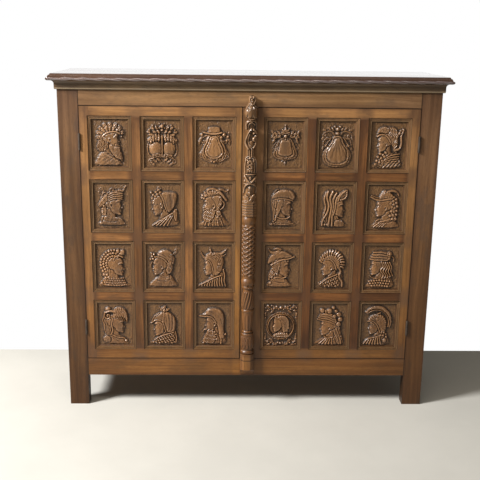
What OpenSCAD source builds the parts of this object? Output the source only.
// Two-door carved oak buffet cabinet: a post-and-rail carcase on four square feet, two framed doors of
// twelve carved panels each, and a carved half-column on the right-hand door.
// The front faces -Y. The origin is on the floor, under the middle of the cabinet's outline.

/* [Cabinet] */
// Width over the posts
body_w = 1400; // [1300:2:1560]
// Depth over the posts
body_d = 390; // [340:2:450]
// Height from the floor to the face of the top
overall_h = 1294; // [1200:2:1400]
// Open height between the floor and the apron
foot_h = 125; // [90:1:160]
// Height of the apron rail
apron_h = 71; // [60:1:90]
// Height of the frieze rail that shows under the cornice
frieze_h = 57; // [45:1:80]

/* [Posts and rails] */
// Width of a front post
post_w = 74; // [62:1:90]
// Depth of a front post
post_d = 45; // [42:1:60]
// Side of a square back post
back_post = 45; // [42:1:55]
// Thickness of the frieze, apron and other carcase rails
rail_t = 24; // [22:0.5:28]
// Height of the middle rail in each side
side_mid_h = 60; // [40:1:90]
// Thickness of a tenon
tenon_t = 9; // [7:0.5:11]
// Length of a tenon
tenon_l = 25; // [15:1:26]
// Shoulder above and below a tenon
shoulder = 8; // [6:0.5:10]
// Clearance round a tenon or a tongue
joint_fit = 0.2; // [0.1:0.05:0.3]

/* [Top and cornice] */
// Thickness of the top
top_t = 25; // [22:0.5:32]
// Overhang of the top's nose at the front and sides
nose_over = 34.5; // [30:0.5:44]
// Height of the rope nose on the edge of the top
nose_h = 12; // [8:0.5:14]
// Set-back of the upper edge of the top behind its nose
arris_in = 17; // [10:0.5:20]
// Height of the cornice moulding under the top
cornice_h = 32; // [26:0.5:40]
// Overhang of the cornice where it meets the top
cornice_over = 20; // [14:0.5:24]

/* [Doors] */
// Gap round each door
door_gap = 1.5; // [1:0.1:2.5]
// Gap between the two doors
meeting_gap = 2; // [1.5:0.1:3]
// Gap between the column and the meeting line
column_gap = 1; // [0.6:0.1:2]
// How far the doors stand in front of the posts
door_proud = 1; // [0.6:0.1:1.5]
// Width of a hinge stile
hinge_stile_w = 35; // [30:0.5:44]
// Plain width between the carved fields of the two doors
centre_w = 112; // [106:1:130]
// Width of a muntin
muntin_w = 41.5; // [32:0.5:50]
// Height of a cross rail
cross_rail_h = 42.5; // [32:0.5:50]
// Height of a door's top rail
door_top_h = 40; // [34:0.5:50]
// Height of a door's bottom rail
door_bottom_h = 42; // [34:0.5:52]
// Width of the groove that holds the panels
groove_w = 7; // [6:0.25:8]
// Depth of the groove that holds the panels
groove_d = 8; // [6:0.5:9]
// Depth of the groove behind the face of its frame
groove_in = 11; // [10:0.25:12]
// Length of the tenons of the door rails
door_tenon = 22; // [14:1:22]

/* [Carved panels] */
// Width of the moulding round each panel
moulding_w = 11; // [8:0.5:14]
// Radius of the bead in that moulding
bead_r = 2.6; // [1.8:0.1:3]
// Height of the carving above its ground
relief_h = 7; // [4:0.25:8]
// Plain margin between the moulding and the carving
field_margin = 5; // [3:0.5:12]

/* [Column] */
// Greatest width of the half-column
column_w = 54; // [46:1:56]
// Height of the column's foot above the apron's lower edge
column_foot = 8; // [2:1:30]
// Height of the column's tip above the top of the doors
column_rise = 43.5; // [30:0.5:50]
// Height of the plain foot block
block_h = 88; // [70:1:100]
// Width of the front face of the foot block and of the capital
canted_front = 26; // [20:1:30]
// Thickness of the foot block at its lower end, under the hollow in its front
foot_land = 3; // [2:0.5:8]
// Height of the reeded capital block
capital_h = 58; // [45:1:70]
// Number of reeds on the capital
reeds = 6; // [4:1:8]
// Radius of the grooves between the reeds
reed_groove_r = 1.6; // [1:0.1:2]
// Height of the carved herm above the capital
herm_h = 389; // [340:1:420]
// Height of the keyhole above the floor
keyhole_z = 505; // [460:1:530]
// Radius of the keyhole
keyhole_r = 2.5; // [2:0.1:3]
// Height of the keyhole's slot under its eye
key_slot = 9; // [7:0.5:12]

/* [Hinges] */
// Height of a lift-off hinge
hinge_h = 60; // [50:1:80]
// Distance of a hinge's middle from the end of its door
hinge_end = 130; // [90:1:200]
// Radius of the hinge barrel
barrel_r = 4.5; // [4:0.1:5]
// Radius of the hinge pin
pin_r = 2.5; // [2:0.1:2.8]
// Running clearance of the pin in the door half
pin_fit = 0.06; // [0.03:0.01:0.1]
// Distance of the hinge axis in front of the door's face
axis_out = 2; // [1.5:0.1:2.5]
// Thickness of a hinge leaf
leaf_t = 2; // [1.6:0.1:2.4]
// Width of a hinge leaf behind the barrel
leaf_w = 20; // [16:0.5:20]

/* [Lock and bolts] */
// Width of the lock case
lock_w = 56; // [44:1:60]
// Height of the lock case
lock_h = 48; // [40:1:60]
// Depth of the lock case
lock_d = 12; // [11:0.5:16]
// Height of the lock bolt
bolt_h = 18; // [12:1:24]
// Thickness of the lock bolt
bolt_t = 6; // [4:0.5:6.5]
// Height of the keyhole above the lock bolt
key_drop = 14; // [12:1:18]
// Radius of a slide bolt's rod
rod_r = 4; // [3:0.25:4.5]
// Distance of a slide bolt's rod behind its door
rod_off = 8; // [7.5:0.25:9]
// Length of a slide bolt's rod
rod_l = 90; // [80:1:120]
// Radius of a slide bolt's knob
knob_r = 5; // [4:0.5:6]

/* [Inside] */
// Height of the bottom board's face above the apron
floor_rise = 8; // [6:0.5:12]
// Thickness of the bottom board and the shelves
shelf_t = 20; // [16:0.5:24]
// Side of a cleat
cleat = 20; // [16:1:26]
// Thickness of the back boards
back_t = 10; // [8:0.5:12]
// Number of back boards
back_count = 7; // [5:1:9]

/* [Hidden] */
$fn = 48;
seat = 0.3;                      // gap where a loose piece rests
slip = 0.1;                      // gap round a piece that is let in
blind = 1;                       // depth of a mortise beyond its tenon
over = 1;                        // how far a cut runs past a face
stop_gap = 0.5;                  // gap between a closed door and its stop
ground_rise = 1;                 // height of a carving's ground over the panel's tongue
sides = [-1, 1];

front_y = (nose_over - body_d) / 2;
back_y = front_y + body_d;
half_w = body_w / 2;
post_in = half_w - post_w;
back_in = half_w - back_post;
side_in = half_w - rail_t;
side_y0 = front_y + post_d;
side_y1 = back_y - back_post;
top_z = overall_h - top_t;       // underside of the top
cornice_z = top_z - cornice_h;
frieze_z = cornice_z - frieze_h;
apron_z = foot_h + apron_h;
floor_z = apron_z + floor_rise;  // face of the bottom board
back_rail_y = back_y - rail_t;
back_mid_y = back_y - rail_t / 2;

door_y = front_y - door_proud;
door_t = rail_t + door_proud - stop_gap;
door_back = door_y + door_t;
door_z0 = apron_z + door_gap;
door_z1 = frieze_z - door_gap;
hinge_edge = post_in - door_gap;
field_out = hinge_edge - hinge_stile_w;
field_in = centre_w / 2;
meeting_u = column_w / 2 + column_gap + meeting_gap / 2;
panel_w = (field_out - field_in - 2 * muntin_w) / 3;
panel_h = (door_z1 - door_z0 - door_top_h - door_bottom_h - 3 * cross_rail_h) / 4;
tongue_t = groove_w - 2 * joint_fit;
tongue_end = 0.5;                // gap at the bottom of a groove
tongue_d = groove_d - tongue_end;
tongue_y = door_y + groove_in + joint_fit;
rows = [0:3];
cols = [0:2];

hinge_u = post_in - door_gap / 2;
hinge_y = door_y - axis_out;
hinge_zs = [door_z0 + hinge_end, door_z1 - hinge_end];
notch_r = barrel_r + seat + slip;
pin_cap = 5;                     // solid end of the barrel over the pin

column_z0 = foot_h + column_foot;
column_z1 = door_z1 + column_rise;
capital_z = column_z1 - herm_h - capital_h;
shaft_z0 = column_z0 + block_h;
shaft_h = capital_z - shaft_z0;
column_r = column_w / 2;
front_half = canted_front / 2;
cant_r = (column_r + front_half) / sqrt(2);
undercut_r = column_r - foot_land;

shelf_gap = (top_z - floor_z - 2 * shelf_t) / 3;
shelf_zs = [floor_z + shelf_gap, floor_z + 2 * shelf_gap + shelf_t];
stop_lap = 12;                   // how far the upper door stop hangs below the frieze
stop_z0 = frieze_z - stop_lap;
stop_h = 28;
stop_d = 20;
rod_x = -(field_in + meeting_u + meeting_gap / 2) / 2;
rod_y = door_back + rod_off;
rod_fit = 0.3;
rod_room = 2;                    // gap before a rod's tip at rest
bolt_z0 = floor_z + rod_room;
bolt_z1 = stop_z0 - rod_room;
plate_end = 8;                   // how far a rod's tip stands past its plate
rod_tail = 12;                   // how far its other end does
plate_h = rod_l - plate_end - rod_tail;
knob_t = 4;
knob_lip = 2;                    // how far the knob stands out round its stem
glue_blocks = 5;
lock_shift = 3;                  // how far the lock sits to the right of the keyhole

oak = "#8a5f38";
oak_gold = "#9a6d3c";
oak_dark = "#6b4a31";
carved = "#7c6146";
iron = "#3a322c";
brass = "#9c8048";

// Where a row or a column of panels starts; columns count outwards from the middle
function row_z(r) = door_z1 - door_top_h - panel_h - r * (panel_h + cross_rail_h);
function col_u(c) = field_in + c * (panel_w + muntin_w);
// The edge of a door at the meeting line, in the door's own outward direction
function meet_u(side) = side < 0 ? meeting_u + meeting_gap / 2 : -meeting_u + meeting_gap / 2;
// Points on an arc in a profile
function arc(cx, cy, r, a0, a1, n) =
  [for (i = [0:n]) let (a = a0 + (a1 - a0) * i / n) [cx + r * cos(a), cy + r * sin(a)]];
function oval(cx, cy, rx, ry, n) =
  [for (i = [0:n - 1]) [cx + rx * cos(360 * i / n), cy + ry * sin(360 * i / n)]];

module span(x, y, z) translate([x[0], y[0], z[0]]) cube([x[1] - x[0], y[1] - y[0], z[1] - z[0]]);

// Drawn for the right-hand side, and mirrored for the left
module on_side(side) mirror([side < 0 ? 1 : 0, 0, 0]) children();

// A prism whose outline is drawn in X and Z, from y0 back to y1
module xz_prism(y0, y1) translate([0, y1, 0]) rotate([90, 0, 0]) linear_extrude(y1 - y0) children();

// A rail along X with a tenon at each end, or the room that they need in a post
module rail_x(x, y, z, tenon = tenon_l) {
  mid = (y[0] + y[1]) / 2;
  span(x, y, z);
  span([x[0] - tenon, x[1] + tenon], [mid - tenon_t / 2, mid + tenon_t / 2],
    [z[0] + shoulder, z[1] - shoulder]);
}

module mortise_x(face, dir, y, z, tenon = tenon_l) {
  mid = (y[0] + y[1]) / 2;
  far = face + dir * (tenon + blind);
  span([min(face, far), max(face, far)],
    [mid - tenon_t / 2 - joint_fit, mid + tenon_t / 2 + joint_fit],
    [z[0] + shoulder - joint_fit, z[1] - shoulder + joint_fit]);
}

module rail_y(x, y, z) {
  mid = (x[0] + x[1]) / 2;
  span(x, y, z);
  span([mid - tenon_t / 2, mid + tenon_t / 2], [y[0] - tenon_l, y[1] + tenon_l],
    [z[0] + shoulder, z[1] - shoulder]);
}

module mortise_y(face, dir, x, z) {
  mid = (x[0] + x[1]) / 2;
  far = face + dir * (tenon_l + blind);
  span([mid - tenon_t / 2 - joint_fit, mid + tenon_t / 2 + joint_fit],
    [min(face, far), max(face, far)],
    [z[0] + shoulder - joint_fit, z[1] - shoulder + joint_fit]);
}

side_x = [side_in, half_w];
side_rail_zs = [
  [foot_h, apron_z],
  [(apron_z + frieze_z - side_mid_h) / 2, (apron_z + frieze_z + side_mid_h) / 2],
  [frieze_z, top_z]
];
side_groove_x = [half_w - rail_t / 2 - groove_w / 2, half_w - rail_t / 2 + groove_w / 2];
back_rail_zs = [[foot_h, apron_z], [frieze_z, top_z]];
back_groove_y = [back_mid_y - back_t / 2 - joint_fit, back_mid_y + back_t / 2 + joint_fit];

module side_mortises(face, dir) for (z = side_rail_zs) mortise_y(face, dir, side_x, z);

// Room in a post or a hinge stile for the barrel and for one leaf of each hinge
module hinge_room(dir) for (z = hinge_zs) {
  translate([hinge_u, hinge_y, z - hinge_h / 2 - seat]) cylinder(r = notch_r, h = hinge_h + 2 * seat);
  near = hinge_u;
  far = hinge_u + dir * (leaf_t + 2 * slip);
  span([min(near, far), max(near, far)], [hinge_y, hinge_y + notch_r + leaf_w + seat],
    [z - hinge_h / 2 - seat, z + hinge_h / 2 + seat]);
}

module front_post(side) color(oak_dark) on_side(side) difference() {
  span([post_in, half_w], [front_y, side_y0], [0, top_z]);
  mortise_x(post_in, 1, [front_y, front_y + rail_t], [frieze_z, top_z]);
  mortise_x(post_in, 1, [front_y, front_y + rail_t], [foot_h, apron_z]);
  side_mortises(side_y0, -1);
  span(side_groove_x, [side_y0 - groove_d, side_y0 + over], [apron_z - groove_d, frieze_z + groove_d]);
  hinge_room(1);
}

module back_leg(side) color(oak_dark) on_side(side) difference() {
  span([back_in, half_w], [side_y1, back_y], [0, top_z]);
  for (z = back_rail_zs) mortise_x(back_in, 1, [back_rail_y, back_y], z);
  side_mortises(side_y1, 1);
  span(side_groove_x, [side_y1 - over, side_y1 + groove_d], [apron_z - groove_d, frieze_z + groove_d]);
  span([back_in - over, back_in + groove_d], back_groove_y, [apron_z - groove_d, frieze_z + groove_d]);
}

module frieze_rail() color(oak_gold)
  rail_x([-post_in, post_in], [front_y, front_y + rail_t], [frieze_z, top_z]);

module apron_rail() color(oak_gold)
  rail_x([-post_in, post_in], [front_y, front_y + rail_t], [foot_h, apron_z]);

module side_rails() color(oak) for (side = sides) on_side(side) {
  groove_y = [side_y0 - tenon_l - over, side_y1 + tenon_l + over];
  difference() {
    rail_y(side_x, [side_y0, side_y1], side_rail_zs[0]);
    span(side_groove_x, groove_y, [apron_z - groove_d, apron_z + over]);
  }
  difference() {
    rail_y(side_x, [side_y0, side_y1], side_rail_zs[1]);
    span(side_groove_x, groove_y, [side_rail_zs[1][1] - groove_d, side_rail_zs[1][1] + over]);
    span(side_groove_x, groove_y, [side_rail_zs[1][0] - over, side_rail_zs[1][0] + groove_d]);
  }
  difference() {
    rail_y(side_x, [side_y0, side_y1], side_rail_zs[2]);
    span(side_groove_x, groove_y, [frieze_z - over, frieze_z + groove_d]);
  }
}

// Plain fielded panels in the sides
field_edge = 34;
field_sunk = 4;
module side_panels() color(oak) for (side = sides, i = [0, 1]) on_side(side) {
  z = [side_rail_zs[i][1], side_rail_zs[i + 1][0]];
  mid = half_w - rail_t / 2;
  span([mid - tongue_t / 2, mid + tongue_t / 2], [side_y0 - tongue_d, side_y1 + tongue_d],
    [z[0] - tongue_d, z[1] + tongue_d]);
  span([mid, half_w - field_sunk], [side_y0 + field_edge, side_y1 - field_edge],
    [z[0] + field_edge, z[1] - field_edge]);
}

module back_rails() color(oak) {
  difference() {
    rail_x([-back_in, back_in], [back_rail_y, back_y], back_rail_zs[0]);
    span([-half_w, half_w], back_groove_y, [apron_z - groove_d, apron_z + over]);
  }
  difference() {
    rail_x([-back_in, back_in], [back_rail_y, back_y], back_rail_zs[1]);
    span([-half_w, half_w], back_groove_y, [frieze_z - over, frieze_z + groove_d]);
  }
}

// Upright boards joined by tongues
board_tongue = 5;
board_gap = 0.5;
module back_boards() color(oak) {
  y = [back_mid_y - back_t / 2, back_mid_y + back_t / 2];
  left = -back_in - tongue_d;
  pitch = 2 * (back_in + tongue_d) / back_count;
  third = back_t / 3;
  z = [apron_z - tongue_d, frieze_z + tongue_d];
  for (i = [0:back_count - 1]) difference() {
    x = left + i * pitch;
    union() {
      span([x + (i > 0 ? board_gap : 0), x + pitch], y, z);
      if (i > 0) span([x - board_tongue, x + over], [y[0] + third, y[1] - third], z);
    }
    if (i < back_count - 1) span([x + pitch - board_tongue - board_gap, x + pitch + over],
      [y[0] + third - joint_fit, y[1] - third + joint_fit], [z[0] - over, z[1] + over]);
  }
}

// A board notched round the posts: wide between them, narrower beside each pair
module notched_board(y_front, y_back, z) {
  span([-side_in + seat, side_in - seat], [max(y_front, side_y0 + seat), side_y1 - seat], z);
  span([-back_in + seat, back_in - seat], [side_y1 - seat - over, y_back], z);
  if (y_front < side_y0)
    span([-post_in + seat, post_in - seat], [y_front, side_y0 + seat + over], z);
}

module bottom_board() color(oak) difference() {
  notched_board(front_y + rail_t, back_rail_y, [floor_z - shelf_t, floor_z]);
  translate([rod_x, rod_y, floor_z - shelf_t - over])
    cylinder(r = rod_r + 2 * rod_fit, h = shelf_t + 2 * over);
}

shelf_back = 2;                  // how far the shelves stand behind the front posts
module shelves() color(oak) for (z = shelf_zs)
  notched_board(side_y0 + shelf_back, back_mid_y - back_t / 2 - seat, [z, z + shelf_t]);

// Cleats that carry the bottom board and the shelves, the door stop and the blocks under the top
module cleats() color(oak) {
  under = [floor_z - shelf_t - cleat, floor_z - shelf_t];
  span([-post_in + seat, post_in - seat], [front_y + rail_t, front_y + rail_t + cleat], under);
  span([-back_in + seat, back_in - seat], [back_rail_y - cleat, back_rail_y], under);
  for (side = sides) on_side(side) {
    span([side_in - cleat, side_in], [side_y0, side_y1], under);
    for (z = shelf_zs) span([side_in - cleat, side_in], [side_y0, side_y1], [z - cleat, z]);
    span([side_in - cleat, side_in], [side_y0, side_y1], [top_z - cleat, top_z]);
  }
  difference() {
    span([-post_in + seat, post_in - seat], [front_y + rail_t, front_y + rail_t + stop_d],
      [stop_z0, stop_z0 + stop_h]);
    translate([rod_x, rod_y, stop_z0 - over]) cylinder(r = rod_r + 2 * rod_fit, h = stop_h + 2 * over);
  }
  for (i = [0:glue_blocks - 1])
    translate([(2 * i + 1 - glue_blocks) * post_in / glue_blocks - cleat, front_y + rail_t, top_z - cleat])
      cube([2 * cleat, cleat, cleat]);
}

// Edge of the top, from its underside out to the nose and back to the upper edge
nose_r = nose_h / 2;
nose_fillet = 8;                 // from the nose's tip to the foot of the ovolo
edge_top = [
  [-nose_over + nose_fillet, 0],
  each arc(-nose_over + nose_r, nose_r, nose_r, 250, 110, 8),
  [-nose_over + nose_fillet, nose_h],
  each arc(-nose_over + arris_in, nose_h, min(arris_in - nose_fillet, top_t - nose_h), 180, 100, 6),
  [-nose_over + arris_in, top_t]
];

// The slab is where three moulded sweeps meet, so that its corners are mitred
module top_board() color(oak_dark) intersection() {
  translate([-half_w - nose_over - over, front_y, top_z]) rotate([90, 0, 90])
    linear_extrude(body_w + 2 * (nose_over + over))
      polygon([each edge_top, [body_d, top_t], [body_d, 0]]);
  translate([0, back_y + over, top_z]) rotate([90, 0, 0])
    linear_extrude(body_d + nose_over + 2 * over)
    polygon([
      for (p = edge_top) [-half_w + p[0], p[1]],
      for (i = [len(edge_top) - 1:-1:0]) [half_w - edge_top[i][0], edge_top[i][1]]
    ]);
}

// Cornice section: x is the overhang behind the face (negative outwards), y the height
mitre_gap = 0.2;
bead_out = 4;
fillet_out = 8;
cove_r = cornice_over - fillet_out;
cornice_section = [
  [0, 0], [-bead_out, 0],
  each arc(-bead_out, bead_out, bead_out, 270, 180, 5),
  [-fillet_out, cornice_h - cove_r],
  each arc(-cornice_over, cornice_h - cove_r, cove_r, 0, 90, 8),
  [-cornice_over, cornice_h], [0, cornice_h]
];

module cornice() color(oak_dark) {
  reach = cornice_over + over;
  translate([0, front_y, cornice_z]) difference() {
    translate([-half_w - reach, 0, 0]) rotate([90, 0, 90]) linear_extrude(body_w + 2 * reach)
      polygon(cornice_section);
    for (side = sides) on_side(side) translate([half_w - mitre_gap, 0, -over]) rotate([0, 0, 45])
      translate([0, -2 * reach, 0]) cube([4 * reach, 4 * reach, cornice_h + 2 * over]);
  }
  for (side = sides) on_side(side) translate([half_w, 0, cornice_z]) difference() {
    translate([0, back_y, 0]) rotate([90, 0, 0]) linear_extrude(body_d + reach)
      polygon([for (p = cornice_section) [-p[0], p[1]]]);
    translate([0, front_y, -over]) rotate([0, 0, 45])
      translate([-4 * reach, -4 * reach, 0]) cube([4 * reach, 8 * reach, cornice_h + 2 * over]);
  }
}

// Lift-off hinges: the post half holds the pin, and the door half drops over it
module hinge_post_halves() color(iron) for (side = sides, z = hinge_zs) on_side(side)
  translate([hinge_u, hinge_y, z]) {
    translate([0, 0, -hinge_h / 2]) cylinder(r = barrel_r, h = hinge_h / 2 - seat / 2);
    translate([0, 0, -over]) cylinder(r = pin_r, h = hinge_h / 2 - pin_cap + over);
    span([slip, slip + leaf_t], [0, notch_r + leaf_w], [-hinge_h / 2, -seat / 2]);
    span([slip, slip + leaf_t], [notch_r, notch_r + leaf_w], [-over, hinge_h / 2]);
  }

module hinge_door_halves(side) color(iron) for (z = hinge_zs) on_side(side)
  translate([hinge_u, hinge_y, z]) difference() {
    union() {
      translate([0, 0, seat / 2]) cylinder(r = barrel_r, h = hinge_h / 2 - seat / 2);
      span([-slip - leaf_t, -slip], [0, notch_r + leaf_w], [seat / 2, hinge_h / 2]);
      span([-slip - leaf_t, -slip], [notch_r, notch_r + leaf_w], [-hinge_h / 2, over]);
    }
    translate([0, 0, -over]) cylinder(r = pin_r + pin_fit, h = hinge_h / 2 - pin_cap + over + seat);
  }

module key_way(y0, y1) {
  translate([0, y1, keyhole_z]) rotate([90, 0, 0]) cylinder(r = keyhole_r, h = y1 - y0);
  span([-keyhole_r / 2, keyhole_r / 2], [y0, y1], [keyhole_z - key_slot, keyhole_z]);
}

// Grooves all round the panel field of a door
module panel_groove(u, z) span(u, [door_y + groove_in, door_y + groove_in + groove_w], z);

module door_mortises(face, dir) for (z = [
    [door_z0, door_z0 + door_bottom_h],
    [door_z1 - door_top_h, door_z1]
  ]) {
  far = face + dir * (door_tenon + blind);
  span([min(face, far), max(face, far)], [door_y + groove_in, door_y + groove_in + groove_w],
    [z[0] + shoulder - joint_fit, z[1] - shoulder + joint_fit]);
}

module door_stiles(side) color(oak) on_side(side) {
  difference() {
    span([field_out, hinge_edge], [door_y, door_back], [door_z0, door_z1]);
    panel_groove([field_out - over, field_out + groove_d], [door_z0 - over, door_z1 + over]);
    door_mortises(field_out, 1);
    hinge_room(-1);
  }
  difference() {
    span([meet_u(side), field_in], [door_y, door_back], [door_z0, door_z1]);
    panel_groove([field_in - groove_d, field_in + over], [door_z0 - over, door_z1 + over]);
    if (side > 0) key_way(door_y - over, door_back + over);
  }
}

// Long tenons at the hinge stile, and stub tongues in the groove of the meeting stile
module door_rails(side) color(oak_gold) on_side(side) for (z = [
    [door_z0, door_z0 + door_bottom_h],
    [door_z1 - door_top_h, door_z1]
  ]) difference() {
  union() {
    span([field_in, field_out], [door_y, door_back], z);
    span([field_in - tongue_d, field_out + tongue_d], [tongue_y, tongue_y + tongue_t], z);
    span([field_out, field_out + door_tenon], [tongue_y, tongue_y + tongue_t],
      [z[0] + shoulder, z[1] - shoulder]);
  }
  if (z[0] == door_z0) panel_groove([field_in - groove_d, field_out + door_tenon + over],
    [z[1] - groove_d, z[1] + over]);
  else panel_groove([field_in - groove_d, field_out + door_tenon + over],
    [z[0] - over, z[0] + groove_d]);
}

module muntins(side) color(oak) on_side(side) for (c = [1, 2]) difference() {
  u = [col_u(c) - muntin_w, col_u(c)];
  z = [door_z0 + door_bottom_h, door_z1 - door_top_h];
  union() {
    span(u, [door_y, door_back], z);
    span(u, [tongue_y, tongue_y + tongue_t], [z[0] - tongue_d, z[1] + tongue_d]);
  }
  groove_z = [z[0] - groove_d, z[1] + groove_d];
  panel_groove([u[0] - over, u[0] + groove_d], groove_z);
  panel_groove([u[1] - groove_d, u[1] + over], groove_z);
}

module cross_rails(side) color(oak_gold) on_side(side) for (c = cols, r = [0:2]) difference() {
  u = [col_u(c), col_u(c) + panel_w];
  z = [row_z(r) - cross_rail_h, row_z(r)];
  union() {
    span(u, [door_y, door_back], z);
    span([u[0] - tongue_d, u[1] + tongue_d], [tongue_y, tongue_y + tongue_t], z);
  }
  panel_groove([u[0] - groove_d, u[1] + groove_d], [z[1] - groove_d, z[1] + over]);
  panel_groove([u[0] - groove_d, u[1] + groove_d], [z[0] - over, z[0] + groove_d]);
}

// Section of the moulding: x runs from the frame towards the panel, y up from the panel's tongue.
// A quirk at the frame, a bead, and a step down to the ground
mould_in = 1.5;                  // depth of the moulding behind the face of the frame
mould_h = groove_in + joint_fit - mould_in;
quirk_w = 2;
quirk_d = 5;
step_h = 4.5;
step_fall = 1.5;
mould_section = [
  [joint_fit, 0], [joint_fit, mould_h - quirk_d], [quirk_w, mould_h - quirk_d],
  each arc(quirk_w + bead_r, mould_h - bead_r, bead_r, 180, 0, 4),
  [quirk_w + 2 * bead_r, step_h], [moulding_w, step_h - step_fall], [moulding_w, 0]
];

// One strip with mitred ends, lying along X from the corner of the opening
module mould_strip(length) difference() {
  rotate([90, 0, 90]) linear_extrude(length) polygon(mould_section);
  rotate([0, 0, 45]) translate([-2 * moulding_w, 0, -over])
    cube([2 * moulding_w, 2 * moulding_w, mould_h + 2 * over]);
  translate([length, 0, 0]) rotate([0, 0, -45]) translate([0, 0, -over])
    cube([2 * moulding_w, 2 * moulding_w, mould_h + 2 * over]);
}

module mouldings(side) color(oak) on_side(side) for (c = cols, r = rows)
  translate([col_u(c), tongue_y, row_z(r)]) rotate([90, 0, 0]) {
    mould_strip(panel_w);
    translate([panel_w, 0, 0]) rotate([0, 0, 90]) mould_strip(panel_h);
    translate([panel_w, panel_h, 0]) rotate([0, 0, 180]) mould_strip(panel_w);
    translate([0, panel_h, 0]) rotate([0, 0, 270]) mould_strip(panel_h);
  }

// What each panel carries, by row and by column from the left: a head that looks left (-1) or
// right (1), a shield (0) or a roundel (2)
carvings = [
  [1, 0, 0, 0, 0, -1],
  [1, -1, -1, 1, 1, -1],
  [1, -1, -1, 1, -1, -1],
  [1, -1, -1, 2, -1, -1]
];

// Plain forms of the carving, in a field of half-width w and half-height h
module bust(dir, w, h) mirror([dir < 0 ? 1 : 0, 0]) union() {
  polygon(oval(0, 0.22 * h, 0.46 * w, 0.56 * h, 24));
  polygon(oval(-0.14 * w, 0.4 * h, 0.56 * w, 0.42 * h, 24));
  polygon([[-0.72 * w, -0.86 * h], [0.6 * w, -0.86 * h], [0.42 * w, -0.5 * h],
    [0.16 * w, -0.16 * h], [-0.34 * w, -0.1 * h], [-0.62 * w, -0.5 * h]]);
}

module shield(w, h) union() {
  polygon([[-0.6 * w, 0.3 * h], [0.6 * w, 0.3 * h], [0.62 * w, -0.35 * h],
    each arc(0, -0.35 * h, 0.62 * w, 0, -180, 12), [-0.62 * w, -0.35 * h]]);
  polygon(oval(0, 0.5 * h, 0.6 * w, 0.3 * h, 24));
}

module roundel(w, h) union() {
  difference() {
    circle(r = 0.8 * w);
    circle(r = 0.68 * w);
  }
  polygon(oval(0, 0, 0.42 * w, 0.42 * h, 24));
  for (sx = sides, sz = sides) translate([sx * 0.62 * w, sz * 0.72 * h]) circle(r = 0.2 * w);
}

module carved_panel(r, col) {
  side = col < 4 ? -1 : 1;
  c = col < 4 ? 3 - col : col - 4;
  u0 = side > 0 ? col_u(c) : -col_u(c) - panel_w;
  u = [u0, u0 + panel_w];
  z = [row_z(r), row_z(r) + panel_h];
  ground = tongue_y - ground_rise;
  in = moulding_w + joint_fit;
  field_w = panel_w / 2 - in - field_margin;
  field_h = panel_h / 2 - in - field_margin;
  color(carved) {
    span([u[0] - tongue_d, u[1] + tongue_d], [tongue_y, tongue_y + tongue_t],
      [z[0] - tongue_d, z[1] + tongue_d]);
    span([u[0] + in, u[1] - in], [ground, tongue_y + over], [z[0] + in, z[1] - in]);
    translate([(u[0] + u[1]) / 2, 0, (z[0] + z[1]) / 2])
      xz_prism(ground - relief_h, ground + ground_rise / 2)
      if (carvings[r][col - 1] == 0) shield(field_w, field_h);
      else if (carvings[r][col - 1] == 2) roundel(field_w, field_h);
      else bust(carvings[r][col - 1], field_w, field_h);
  }
}

// A half-turning about the column's axis, standing on the face of the door
module half_turning(profile) translate([0, door_y, 0]) rotate([0, 0, 180])
  rotate_extrude(angle = 180) polygon(profile);

// Turned members from the foot up, each as [height, lower radius, upper radius, swell]. Heights
// share out the stretch that they fill, and radii are shares of the column's half-width
function total(members, i) = i < 0 ? 0 : members[i][0] + total(members, i - 1);
function member_points(m, z, k) = [for (i = [0:m[3] == 0 ? 1 : 6])
  let (t = i / (m[3] == 0 ? 1 : 6))
  [column_r * (m[1] + (m[2] - m[1]) * t + m[3] * sin(180 * t)), z + k * m[0] * t]];
function turning(members, z, h) = let (k = h / total(members, len(members) - 1)) [
  [0, z],
  for (i = [0:len(members) - 1]) each member_points(members[i], z + k * total(members, i - 1), k),
  [0, z + h]
];

shaft_members = [
  [16, 0.84, 0.84, 0.16],          // torus on the foot block
  [6, 0.78, 0.78, 0],
  [54, 0.84, 0.84, 0.05],          // drum with a band of leaves
  [9, 0.90, 0.90, 0.04],
  [2, 0.72, 0.72, 0],
  [10, 0.68, 0.68, 0.12],          // small bead
  [76, 0.60, 0.82, 0.04],          // slender baluster
  [11, 0.84, 0.84, 0.06],
  [26, 0.72, 0.96, 0.04],          // vase with spiral flutes
  [59, 0.96, 0.64, -0.02],
  [10, 0.86, 0.92, 0.04],
  [31, 0.84, 0.84, 0.16],          // great torus
  [6, 0.80, 0.80, 0],
  [208, 0.84, 0.88, 0.06],         // long shaft with its twisted lattice
  [31, 0.84, 0.84, 0.16]           // torus under the capital
];

module column_shaft() color(oak) difference() {
  half_turning(turning(shaft_members, shaft_z0, shaft_h));
  key_way(door_y - column_r - over, door_y + over);
}

// Half-octagon that stands on the face of the door
module canted_block(z, h) translate([0, door_y, z]) linear_extrude(h)
  polygon([[-column_r, 0], [-column_r, -front_half], [-front_half, -column_r],
    [front_half, -column_r], [column_r, -front_half], [column_r, 0]]);

// Foot block, hollowed under its front edge
module column_block() color(oak_gold) difference() {
  canted_block(column_z0, block_h);
  translate([-column_r - over, door_y - column_r, column_z0]) rotate([0, 90, 0])
    cylinder(r = undercut_r, h = 2 * (column_r + over));
}

herm_members = [
  [31, 0.84, 0.90, 0.04],          // pair of leaves
  [29, 0.86, 0.84, 0.06],          // small arch with its boss
  [37, 0.80, 0.84, 0.02],          // crossed straps
  [7, 0.95, 0.95, 0.03],
  [89, 0.86, 0.60, 0.02],          // herm that tapers upwards
  [27, 0.62, 0.66, 0.05],
  [53, 0.66, 0.80, 0.18],          // scrolls
  [28, 0.80, 0.62, 0.08],
  [59, 0.62, 0.60, 0.34],          // leaf bud
  [29, 0.58, 0.20, 0.10]           // curled tip
];

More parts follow.
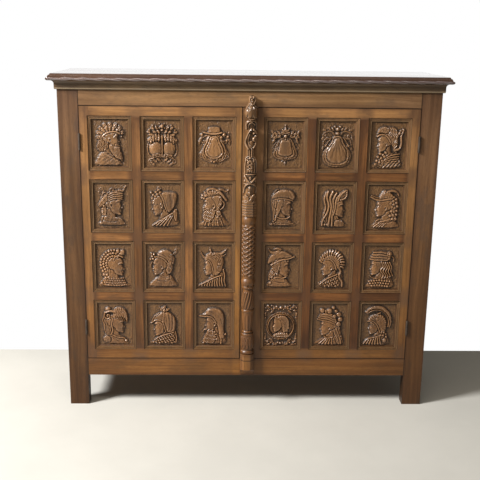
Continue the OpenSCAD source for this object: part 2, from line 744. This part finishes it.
// Grooves between the reeds of the capital, on its five faces
capital_faces = [[-90, column_r], [-45, cant_r], [0, column_r], [45, cant_r], [90, column_r]];

module reed_grooves(z) for (face = capital_faces)
  translate([0, door_y, z]) rotate([0, 0, face[0]]) translate([-column_r, -face[1], 0])
    rotate([0, 90, 0]) cylinder(r = reed_groove_r, h = 2 * column_r, $fn = 24);

module column_herm() color(carved) {
  difference() {
    canted_block(capital_z, capital_h);
    for (i = [1:reeds - 1]) reed_grooves(capital_z + capital_h * i / reeds);
  }
  half_turning(turning(herm_members, capital_z + capital_h, herm_h));
}

// Rim lock behind the meeting stile. Its bolt shoots behind the stile of the left-hand door
lock_wall = 4;
lock_x = [lock_shift - lock_w / 2, lock_shift + lock_w / 2];
bolt_mid_y = door_back + lock_d / 2;
bolt_y = [bolt_mid_y - bolt_t / 2, bolt_mid_y + bolt_t / 2];
bolt_z = [keyhole_z - key_drop - bolt_h, keyhole_z - key_drop];

module lock_case() color(brass) difference() {
  span(lock_x, [door_back, door_back + lock_d], [bolt_z[0] - lock_wall, bolt_z[0] - lock_wall + lock_h]);
  span([lock_x[0] - over, lock_x[1] - lock_wall], [bolt_y[0] - joint_fit, bolt_y[1] + joint_fit],
    [bolt_z[0] - joint_fit, bolt_z[1] + joint_fit]);
  key_way(door_back - over, door_back + lock_d - over);
}

module lock_bolt() color(iron)
  span([lock_x[0] + seat, lock_x[1] - lock_wall - seat], bolt_y, bolt_z);

// Slide bolts of the left-hand door: a plate with two guides, and a rod with a knob
guide_h = 10;
guide_end = 4;                   // from the end of the plate to its guide
guide_wall = 2.5;
plate_side = 5;                  // how far a plate stands out beside its rod
plate_t = 2;

module bolt_plate(z0) difference() {
  union() {
    span([rod_x - rod_r - plate_side, rod_x + rod_r + plate_side], [door_back, door_back + plate_t],
      [z0, z0 + plate_h]);
    for (z = [z0 + guide_end, z0 + plate_h - guide_end - guide_h])
      span([rod_x - rod_r - guide_wall, rod_x + rod_r + guide_wall],
        [door_back, rod_y + rod_r + guide_wall], [z, z + guide_h]);
  }
  translate([rod_x, rod_y, z0 - over]) cylinder(r = rod_r + rod_fit, h = plate_h + 2 * over);
}

module bolt_plates() color(brass) {
  bolt_plate(bolt_z0 + plate_end);
  bolt_plate(bolt_z1 - plate_end - plate_h);
}

module rod(z0) color(brass) translate([rod_x, rod_y, z0]) {
  cylinder(r = rod_r, h = rod_l);
  translate([0, 0, rod_l / 2]) rotate([-90, 0, 0]) cylinder(r = knob_r - knob_lip, h = rod_r + knob_r);
  translate([0, rod_r + knob_r, rod_l / 2]) rotate([-90, 0, 0]) cylinder(r = knob_r, h = knob_t);
}

top_board();
cornice();
frieze_rail();
apron_rail();
front_post(-1);  // front_post_left
front_post(1);  // front_post_right
back_leg(-1);  // back_post_left
back_leg(1);  // back_post_right
side_rails();
side_panels();
back_rails();
back_boards();
bottom_board();
shelves();
cleats();
hinge_post_halves();
door_stiles(-1);  // left_door_stiles
door_rails(-1);  // left_door_rails
muntins(-1);  // left_muntins
cross_rails(-1);  // left_cross_rails
mouldings(-1);  // left_mouldings
hinge_door_halves(-1);  // left_hinge_halves
bolt_plates();
rod(bolt_z1 - rod_l);  // upper_bolt
rod(bolt_z0);  // lower_bolt
door_stiles(1);  // right_door_stiles
door_rails(1);  // right_door_rails
muntins(1);  // right_muntins
cross_rails(1);  // right_cross_rails
mouldings(1);  // right_mouldings
hinge_door_halves(1);  // right_hinge_halves
lock_case();
lock_bolt();
column_herm();
column_shaft();
column_block();
for (r = rows, col = [1:6])
  carved_panel(r, col);
